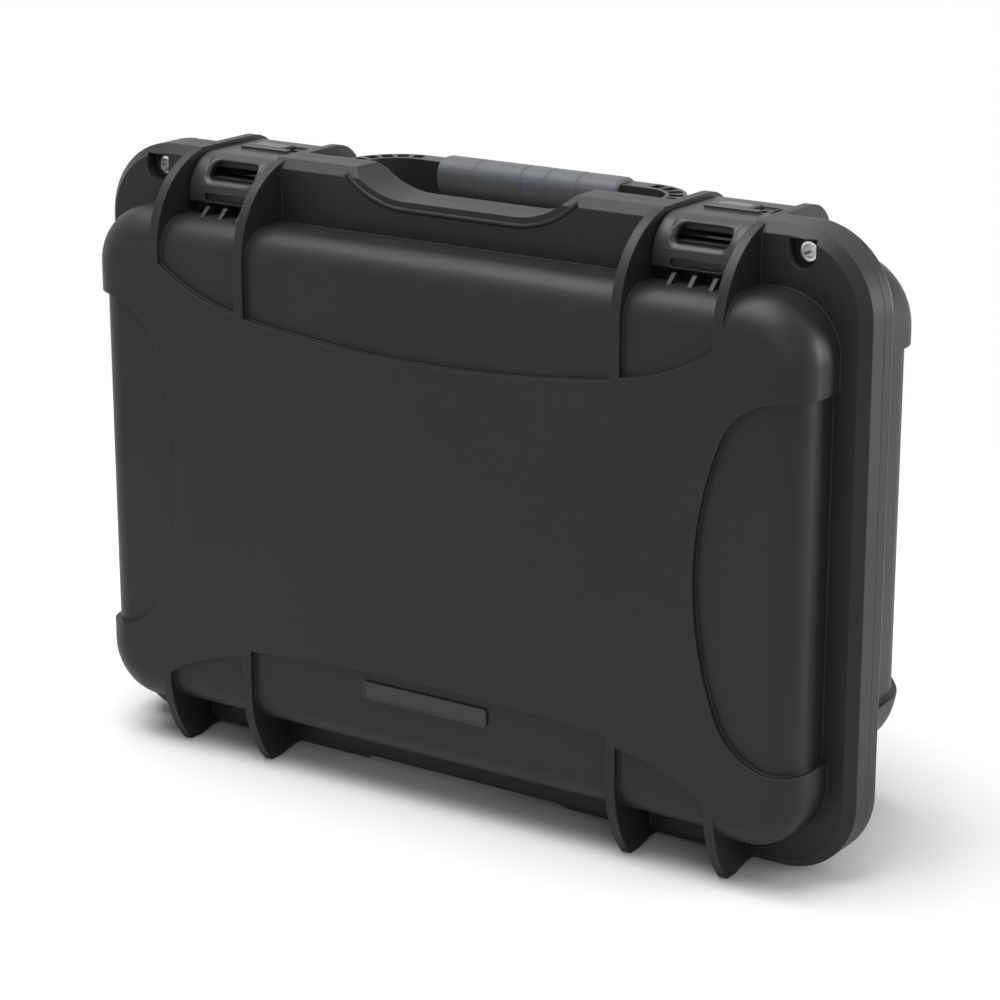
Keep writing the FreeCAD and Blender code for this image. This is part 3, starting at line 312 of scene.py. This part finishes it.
# Places that the CAD boxes give, in metres
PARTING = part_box("base_bushing_left")[0][1]
SLIDE_PROUD = 0.4 * MM
LEVER_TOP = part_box("latch_slide_left")[1][2] - SLIDE_PROUD
HANDLE_LOW, HANDLE_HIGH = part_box("handle_frame")
GRIP_LOW, GRIP_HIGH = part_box("handle_grip")
PLATE_LOW, PLATE_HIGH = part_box("nameplate")


def smooth_rounds(mesh):
    """Weld a mesh, shade its rounds smooth and keep its corners sharp."""
    form = bmesh.new()
    form.from_mesh(mesh)
    bmesh.ops.remove_doubles(form, verts=form.verts, dist=WELD_GAP)
    for face in form.faces:
        face.smooth = True
    for edge in form.edges:
        edge.smooth = len(edge.link_faces) == 2 and edge.calc_face_angle(0) < SHARP_TURN
    form.to_mesh(mesh)
    form.free()


def new_piece(name, mesh, body, slot):
    """Finished object of a mesh that rides on a body."""
    smooth_rounds(mesh)
    mesh.materials.clear()
    mesh.materials.append(MATERIALS[slot])
    piece = bpy.data.objects.new(name, mesh)
    bpy.context.collection.objects.link(piece)
    smooth = piece.modifiers.new("even_normals", "WEIGHTED_NORMAL")
    smooth.mode = "FACE_AREA_WITH_ANGLE"
    smooth.keep_sharp = True
    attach(piece, body)
    return piece


def cad_copy(node):
    """Welded copy of a CAD node's mesh."""
    mesh = frame["nodes"][node].data.copy()
    smooth_rounds(mesh)
    return mesh


def carved(mesh, cutters):
    """The mesh with every cutter mesh taken out of it."""
    scratch = bpy.data.objects.new("carving", mesh)
    bpy.context.collection.objects.link(scratch)
    tools = []
    for cutter in cutters:
        tool = bpy.data.objects.new("cutter", cutter)
        bpy.context.collection.objects.link(tool)
        cut = scratch.modifiers.new("cut", "BOOLEAN")
        cut.operation = "DIFFERENCE"
        cut.solver = "EXACT"
        cut.object = tool
        tools.append(tool)
    bpy.context.view_layer.update()
    result = bpy.data.meshes.new_from_object(scratch.evaluated_get(bpy.context.evaluated_depsgraph_get()))
    for item in [scratch] + tools:
        bpy.data.objects.remove(item)
    return result


def dressed(node, mesh=None):
    """A CAD node's shape with its own finish, or the mesh that stands for it."""
    piece = new_piece(f"{node}_skin", mesh or cad_copy(node), BODY_OF[node], SLOT_OF[node])
    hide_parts(node)
    return piece


def block_mesh(name, low, high):
    """Plain block between two corners, for cutting."""
    form = bmesh.new()
    bmesh.ops.create_cube(form, size=1.0)
    for vert in form.verts:
        for axis in range(3):
            vert.co[axis] = high[axis] if vert.co[axis] > 0 else low[axis]
    mesh = bpy.data.meshes.new(name)
    form.to_mesh(mesh)
    form.free()
    return mesh


def rounded_outline(low, high, radius, steps=6):
    """Points of a rounded rectangle, counter-clockwise."""
    points = []
    corners = ((high[0] - radius, low[1] + radius, -90), (high[0] - radius, high[1] - radius, 0),
               (low[0] + radius, high[1] - radius, 90), (low[0] + radius, low[1] + radius, 180))
    for across, up, start in corners:
        for step in range(steps + 1):
            turn = math.radians(start + 90 * step / steps)
            points.append((across + radius * math.cos(turn), up + radius * math.sin(turn)))
    return points


def skinned(name, rings, closed=False):
    """Mesh through rings of equal counts of points, with end caps, or closed on itself."""
    form = bmesh.new()
    loops = [[form.verts.new(point) for point in ring] for ring in rings]
    pairs = list(zip(loops, loops[1:]))
    if closed:
        pairs.append((loops[-1], loops[0]))
    for first, second in pairs:
        for index in range(len(first)):
            after = (index + 1) % len(first)
            form.faces.new((first[index], first[after], second[after], second[index]))
    if not closed:
        form.faces.new(list(reversed(loops[0])))
        form.faces.new(loops[-1])
    bmesh.ops.recalc_face_normals(form, faces=form.faces)
    mesh = bpy.data.meshes.new(name)
    form.to_mesh(mesh)
    form.free()
    return mesh


# Handle
GRIP_DROP = 3.6 * MM
GRIP_END_STATIONS = ((0.0 * MM, 0.86), (0.5 * MM, 0.94), (1.6 * MM, 1.0))
GRIP_SEAM_SHARES = (0.215, 0.478, 0.613, 0.785)
GRIP_SEAM_HALF = 0.8 * MM
GRIP_SEAM_SHRINK = 0.94
GRIP_POINTS = 48
GRIP_POWER = 2.6
BOW_DROP = 4.4 * MM
BOW_FREE_DEPTH = 33 * MM
BOW_LOW_BAND = 0.1 * MM
BOW_RADIUS = 32 * MM
CELL_RADIUS = 26.4 * MM
CELL_SIZE = (7.4 * MM, 16.0 * MM, 6.4 * MM)
CELL_COUNT = 5
CELL_START = math.radians(5)
CELL_SWEEP = math.radians(76)


def grip_ring(across, share):
    """Section of the grip: full above, deeper below, shrunk by a share."""
    middle_depth = (GRIP_LOW[1] + GRIP_HIGH[1]) / 2
    middle_height = (GRIP_LOW[2] + GRIP_HIGH[2]) / 2
    half_depth = (GRIP_HIGH[1] - GRIP_LOW[1]) / 2
    half_height = (GRIP_HIGH[2] - GRIP_LOW[2]) / 2
    ring = []
    for index in range(GRIP_POINTS):
        turn = 2 * math.pi * index / GRIP_POINTS
        out = math.copysign(abs(math.cos(turn)) ** (2 / GRIP_POWER), math.cos(turn))
        up = math.copysign(abs(math.sin(turn)) ** (2 / GRIP_POWER), math.sin(turn))
        tall = half_height if up > 0 else half_height + GRIP_DROP
        ring.append((across, middle_depth + half_depth * out * share, middle_height + tall * up * share))
    return ring


def grip_mesh():
    """Soft sleeve with eased ends and moulded seams across it."""
    low, high = GRIP_LOW[0], GRIP_HIGH[0]
    stations = [(low + inset, share) for inset, share in GRIP_END_STATIONS]
    for place_share in GRIP_SEAM_SHARES:
        seam = low + (high - low) * place_share
        stations += [(seam - 1.5 * GRIP_SEAM_HALF, 1.0), (seam - 0.5 * GRIP_SEAM_HALF, GRIP_SEAM_SHRINK),
                     (seam + 0.5 * GRIP_SEAM_HALF, GRIP_SEAM_SHRINK), (seam + 1.5 * GRIP_SEAM_HALF, 1.0)]
    stations += [(high - inset, share) for inset, share in reversed(GRIP_END_STATIONS)]
    return skinned("handle_grip", [grip_ring(across, share) for across, share in stations])


def bend_cells():
    """Tree that sets blocks along an arc, to be taken out of a handle bend."""
    tree = bpy.data.node_groups.new("bend_cells", "GeometryNodeTree")
    face = tree.interface
    face.new_socket("Cells", in_out="OUTPUT", socket_type="NodeSocketGeometry")
    for name, kind in (("Radius", "NodeSocketFloat"), ("Start", "NodeSocketFloat"),
                       ("Sweep", "NodeSocketFloat"), ("Count", "NodeSocketInt"),
                       ("Size", "NodeSocketVector"), ("Finish", "NodeSocketMaterial")):
        face.new_socket(name, in_out="INPUT", socket_type=kind)
    given = tree.nodes.new("NodeGroupInput").outputs
    arc = tree.nodes.new("GeometryNodeCurveArc")
    points = tree.nodes.new("GeometryNodeCurveToPoints")
    cell = tree.nodes.new("GeometryNodeMeshCube")
    spread = tree.nodes.new("GeometryNodeInstanceOnPoints")
    plain = tree.nodes.new("GeometryNodeRealizeInstances")
    finish = tree.nodes.new("GeometryNodeSetMaterial")
    out = tree.nodes.new("NodeGroupOutput")
    for source, target in (
            (given["Radius"], arc.inputs["Radius"]), (given["Start"], arc.inputs["Start Angle"]),
            (given["Sweep"], arc.inputs["Sweep Angle"]), (arc.outputs[0], points.inputs["Curve"]),
            (given["Count"], points.inputs["Count"]), (given["Size"], cell.inputs["Size"]),
            (points.outputs["Points"], spread.inputs["Points"]),
            (cell.outputs["Mesh"], spread.inputs["Instance"]),
            (points.outputs["Rotation"], spread.inputs["Rotation"]), (spread.outputs[0], plain.inputs[0]),
            (plain.outputs[0], finish.inputs["Geometry"]), (given["Finish"], finish.inputs["Material"]),
            (finish.outputs[0], out.inputs[0])):
        tree.links.new(source, target)
    return tree


def cells_mesh(tree, start):
    """Plain mesh of one bend's cells round the origin."""
    holder = bpy.data.objects.new("cells", bpy.data.meshes.new("cells"))
    bpy.context.collection.objects.link(holder)
    maker = holder.modifiers.new("cells", "NODES")
    maker.node_group = tree
    settings = {"Radius": CELL_RADIUS, "Start": start, "Sweep": CELL_SWEEP, "Count": CELL_COUNT,
                "Size": CELL_SIZE, "Finish": MATERIALS["latch_plastic"]}
    for item in tree.interface.items_tree:
        if item.in_out == "INPUT":
            maker[item.identifier] = settings[item.name]
    bpy.context.view_layer.update()
    mesh = bpy.data.meshes.new_from_object(holder.evaluated_get(bpy.context.evaluated_depsgraph_get()))
    bpy.data.objects.remove(holder)
    return mesh


def frame_mesh():
    """Handle bow with a deeper underside and open cells in its two bends."""
    mesh = cad_copy("handle_frame")
    for vert in mesh.vertices:
        if vert.co.z < HANDLE_LOW[2] + BOW_LOW_BAND and vert.co.y > PARTING + BOW_FREE_DEPTH:
            vert.co.z -= BOW_DROP
    tree = bend_cells()
    cutters = []
    for side in (-1, 1):
        start = CELL_START if side > 0 else math.pi - CELL_START - CELL_SWEEP
        cells = cells_mesh(tree, start)
        centre = Vector((side * (HANDLE_HIGH[0] - BOW_RADIUS), HANDLE_HIGH[1] - BOW_RADIUS, HANDLE_HIGH[2]))
        for vert in cells.vertices:
            vert.co += centre
        cutters.append(cells)
    return carved(mesh, cutters)


# Lock slides
FRAME_HALF = 17.0 * MM
FRAME_FRONT = 12.9 * MM
FRAME_BACK = 27.6 * MM
FRAME_SINK = 0.9 * MM
HOLE_NEAR = 17.8 * MM
HOLE_FAR = 24.0 * MM
HOLE_FRONT = 13.5 * MM
HOLE_BACK = 26.0 * MM
HOLE_DEEP = 8 * MM
CUT_ABOVE = 3 * MM
THUMB_FRONT = 13.3 * MM
THUMB_BACK = 27.2 * MM
THUMB_REACH = 2.5 * MM
THUMB_CORNER = 2.2 * MM
THUMB_INNER_CORNER = 1.6 * MM
# Insets and heights over the lever's top in millimetres
THUMB_LEVELS = ((0.0, -0.7), (0.0, 0.9), (0.5, 1.4), (3.2, 1.4), (3.4, 0.5))
DISH_LEVELS = ((3.3, 0.3), (3.3, 1.15), (3.6, 1.35), (4.3, 1.35), (5.2, 0.8))


def bay_middle(side_name):
    """Middle of a latch along the case."""
    low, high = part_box(f"latch_lever_{side_name}")
    return (low[0] + high[0]) / 2


def lever_mesh(side_name):
    """Lever with a sunk frame for its lock slide and an open lock hole beside it."""
    middle = bay_middle(side_name)
    frame_cut = block_mesh("frame_cut", (middle - FRAME_HALF, PARTING + FRAME_FRONT, LEVER_TOP - FRAME_SINK),
                           (middle + FRAME_HALF, PARTING + FRAME_BACK, LEVER_TOP + CUT_ABOVE))
    hole_cut = block_mesh("hole_cut", (middle + HOLE_NEAR, PARTING + HOLE_FRONT, LEVER_TOP - HOLE_DEEP),
                          (middle + HOLE_FAR, PARTING + HOLE_BACK, LEVER_TOP + CUT_ABOVE))
    return carved(cad_copy(f"latch_lever_{side_name}"), [frame_cut, hole_cut])


def thumb_mesh(side_name, levels):
    """Stepped pad on a lock slide, from insets and heights over the lever's top in millimetres."""
    low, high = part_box(f"latch_slide_{side_name}")
    rings = []
    for inset_mm, height_mm in levels:
        inset = inset_mm * MM
        outline = rounded_outline((low[0] - THUMB_REACH + inset, PARTING + THUMB_FRONT + inset),
                                  (high[0] + THUMB_REACH - inset, PARTING + THUMB_BACK - inset),
                                  max(THUMB_CORNER - inset, THUMB_INNER_CORNER))
        rings.append([(across, depth, LEVER_TOP + height_mm * MM) for across, depth in outline])
    return skinned("thumb", rings)


# Lever window, with sizes in millimetres: half width, drops of its top and bottom under the lever's
# top, corner and radius about the lever's bend
BEND_RADIUS = 21 * MM
BEND_DEPTH = -4 * MM
BEZEL_SIDE_STEPS = 12
BEZEL_RINGS = ((18.5, 1.2, 16.0, 0.3, 20.5), (18.5, 1.2, 16.0, 0.3, 21.03), (17.4, 2.1, 15.0, 4.8, 21.03),
               (16.5, 2.9, 14.1, 4.2, 20.6), (15.4, 4.1, 13.0, 3.4, 19.2), (15.4, 4.1, 13.0, 3.4, 17.2))


def dense_outline(low, high, radius):
    """Rounded rectangle with its straight sides cut into steps."""
    corners = rounded_outline(low, high, radius)
    count = len(corners) // 4
    points = []
    for corner in range(4):
        arc = corners[corner * count:(corner + 1) * count]
        after = corners[(corner + 1) * count % len(corners)]
        points += arc
        for step in range(1, BEZEL_SIDE_STEPS):
            share = step / BEZEL_SIDE_STEPS
            points.append(tuple(a + (b - a) * share for a, b in zip(arc[-1], after)))
    return points


def bezel_mesh(side_name):
    """Smooth rounded edge that leads from the lever's bend into its finger window."""
    middle = bay_middle(side_name)
    centre_up = LEVER_TOP - BEND_RADIUS
    rings = []
    for half, top, bottom, corner, radius in BEZEL_RINGS:
        outline = dense_outline((middle - half * MM, LEVER_TOP - bottom * MM),
                                (middle + half * MM, LEVER_TOP - top * MM), corner * MM)
        ring = []
        for across, up in outline:
            reach = math.sqrt((radius * MM) ** 2 - (up - centre_up) ** 2)
            ring.append((across, PARTING + BEND_DEPTH - reach, up))
        rings.append(ring)
    return skinned("bezel", rings, closed=True)


# Rim
RIM_HALF = cad_high.x
RIM_TOP = cad_high.z
RIM_BOTTOM = 4 * MM
RIM_TOP_CORNER = 44 * MM
RIM_BOTTOM_CORNER = 40 * MM
BEAD_RADIUS = 1.2 * MM
BEAD_DEPTH = 8.0 * MM
BEAD_STEPS = 16
BEAD_SIDES = 12


def tube_mesh(name, path, radius):
    """Round bead through places with outward directions that lie in the plane of the rim."""
    rings = []
    for place, outward in path:
        ring = []
        for index in range(BEAD_SIDES):
            turn = 2 * math.pi * index / BEAD_SIDES
            out = outward * (radius * math.cos(turn))
            deep = Vector((0, radius * math.sin(turn), 0))
            ring.append(place + out + deep)
        rings.append(ring)
    return skinned(name, rings)


def arc_path(across, depth, up, radius, start, end):
    """Places and outward directions on an arc in the plane of the rim, between two turns in degrees."""
    path = []
    for step in range(BEAD_STEPS + 1):
        turn = math.radians(start + (end - start) * step / BEAD_STEPS)
        outward = Vector((math.cos(turn), 0, math.sin(turn)))
        path.append((Vector((across, depth, up)) + outward * radius, outward))
    return path


def bead_mesh(side):
    """Rounded bead along the back edge of the base rim, from corner to corner on one side."""
    depth = PARTING + BEAD_DEPTH
    top = arc_path(RIM_HALF - RIM_TOP_CORNER, depth, RIM_TOP - RIM_TOP_CORNER,
                   RIM_TOP_CORNER - BEAD_RADIUS, 90, 0)
    bottom = arc_path(RIM_HALF - RIM_BOTTOM_CORNER, depth, RIM_BOTTOM + RIM_BOTTOM_CORNER,
                      RIM_BOTTOM_CORNER - BEAD_RADIUS, 0, -90)
    path = [(Vector((side * place.x, place.y, place.z)), Vector((side * outward.x, 0, outward.z)))
            for place, outward in top + bottom]
    return tube_mesh("rim_bead", path, BEAD_RADIUS)


# Lip of the finger scoop
SCOOP_FLAT = 34 * MM
SCOOP_DROP = 14 * MM
SCOOP_ARC = 50 * MM
LIP_OFFSET = 4.6 * MM
LIP_DEPTH = 16.4 * MM
LIP_RADIUS = 1.5 * MM


def lip_mesh():
    """Rounded lip along the front edge of the finger scoop."""
    depth = PARTING - LIP_DEPTH
    up = RIM_TOP - SCOOP_DROP + SCOOP_ARC
    spread = math.degrees(math.acos((SCOOP_ARC - SCOOP_DROP) / SCOOP_ARC))
    radius = SCOOP_ARC + LIP_OFFSET
    left = arc_path(-SCOOP_FLAT, depth, up, radius, -90 - spread, -90)
    right = arc_path(SCOOP_FLAT, depth, up, radius, -90, -90 + spread)
    return tube_mesh("scoop_lip", left + right, LIP_RADIUS)


# Plate
BORDER_INSET = 0.1 * MM
BORDER_WIDTH = 0.9 * MM
BORDER_RISE = 0.35 * MM
BORDER_SINK = 0.2 * MM
BORDER_CORNER = 2.0 * MM


def border_mesh():
    """Fine raised border round the bare plate."""
    rings = []
    for inset, rise in ((BORDER_INSET, -BORDER_SINK), (BORDER_INSET, BORDER_RISE),
                        (BORDER_WIDTH, BORDER_RISE), (BORDER_WIDTH, -BORDER_SINK)):
        outline = rounded_outline((PLATE_LOW[0] + inset, PLATE_LOW[2] + inset),
                                  (PLATE_HIGH[0] - inset, PLATE_HIGH[2] - inset), BORDER_CORNER - inset)
        rings.append([(across, PLATE_LOW[1] - rise, up) for across, up in outline])
    return skinned("plate_border", rings, closed=True)


SHAPED = {"handle_grip": grip_mesh(), "handle_frame": frame_mesh(),
          "latch_lever_left": lever_mesh("left"), "latch_lever_right": lever_mesh("right")}
for node in sorted(frame["nodes"]):
    dressed(node, SHAPED.get(node))
for side_name in ("left", "right"):
    lever = f"latch_{side_name}"
    slide = f"slide_{side_name}"
    new_piece(f"latch_lever_{side_name}_bezel", bezel_mesh(side_name), lever, "latch_plastic")
    new_piece(f"latch_slide_{side_name}_pad", thumb_mesh(side_name, THUMB_LEVELS), slide, "latch_plastic")
    new_piece(f"latch_slide_{side_name}_dish", thumb_mesh(side_name, DISH_LEVELS), slide, "slide_plastic")
new_piece("rim_bead_left", bead_mesh(-1), "base", "plate_plastic")
new_piece("rim_bead_right", bead_mesh(1), "base", "plate_plastic")
new_piece("scoop_lip", lip_mesh(), "lid", "case_plastic")
new_piece("nameplate_border", border_mesh(), "lid", "latch_plastic")

add_camera()
add_world()
add_floor()
add_lamp("top_softbox", place=(-0.4, -0.4, 2.3), aim=(0, 0, 0.2), size=(2.2, 1.6), power=72)
add_lamp("front_fill", place=(1.3, -2.2, 1.3), aim=(0, 0, 0.15), size=(1.6, 1.6), power=8)
add_lamp("back_strip", place=(1.7, 1.3, 0.45), aim=(0.2, 0, 0.2), size=(0.6, 0.9), power=22)
bpy.context.scene.view_settings.view_transform = "Standard"
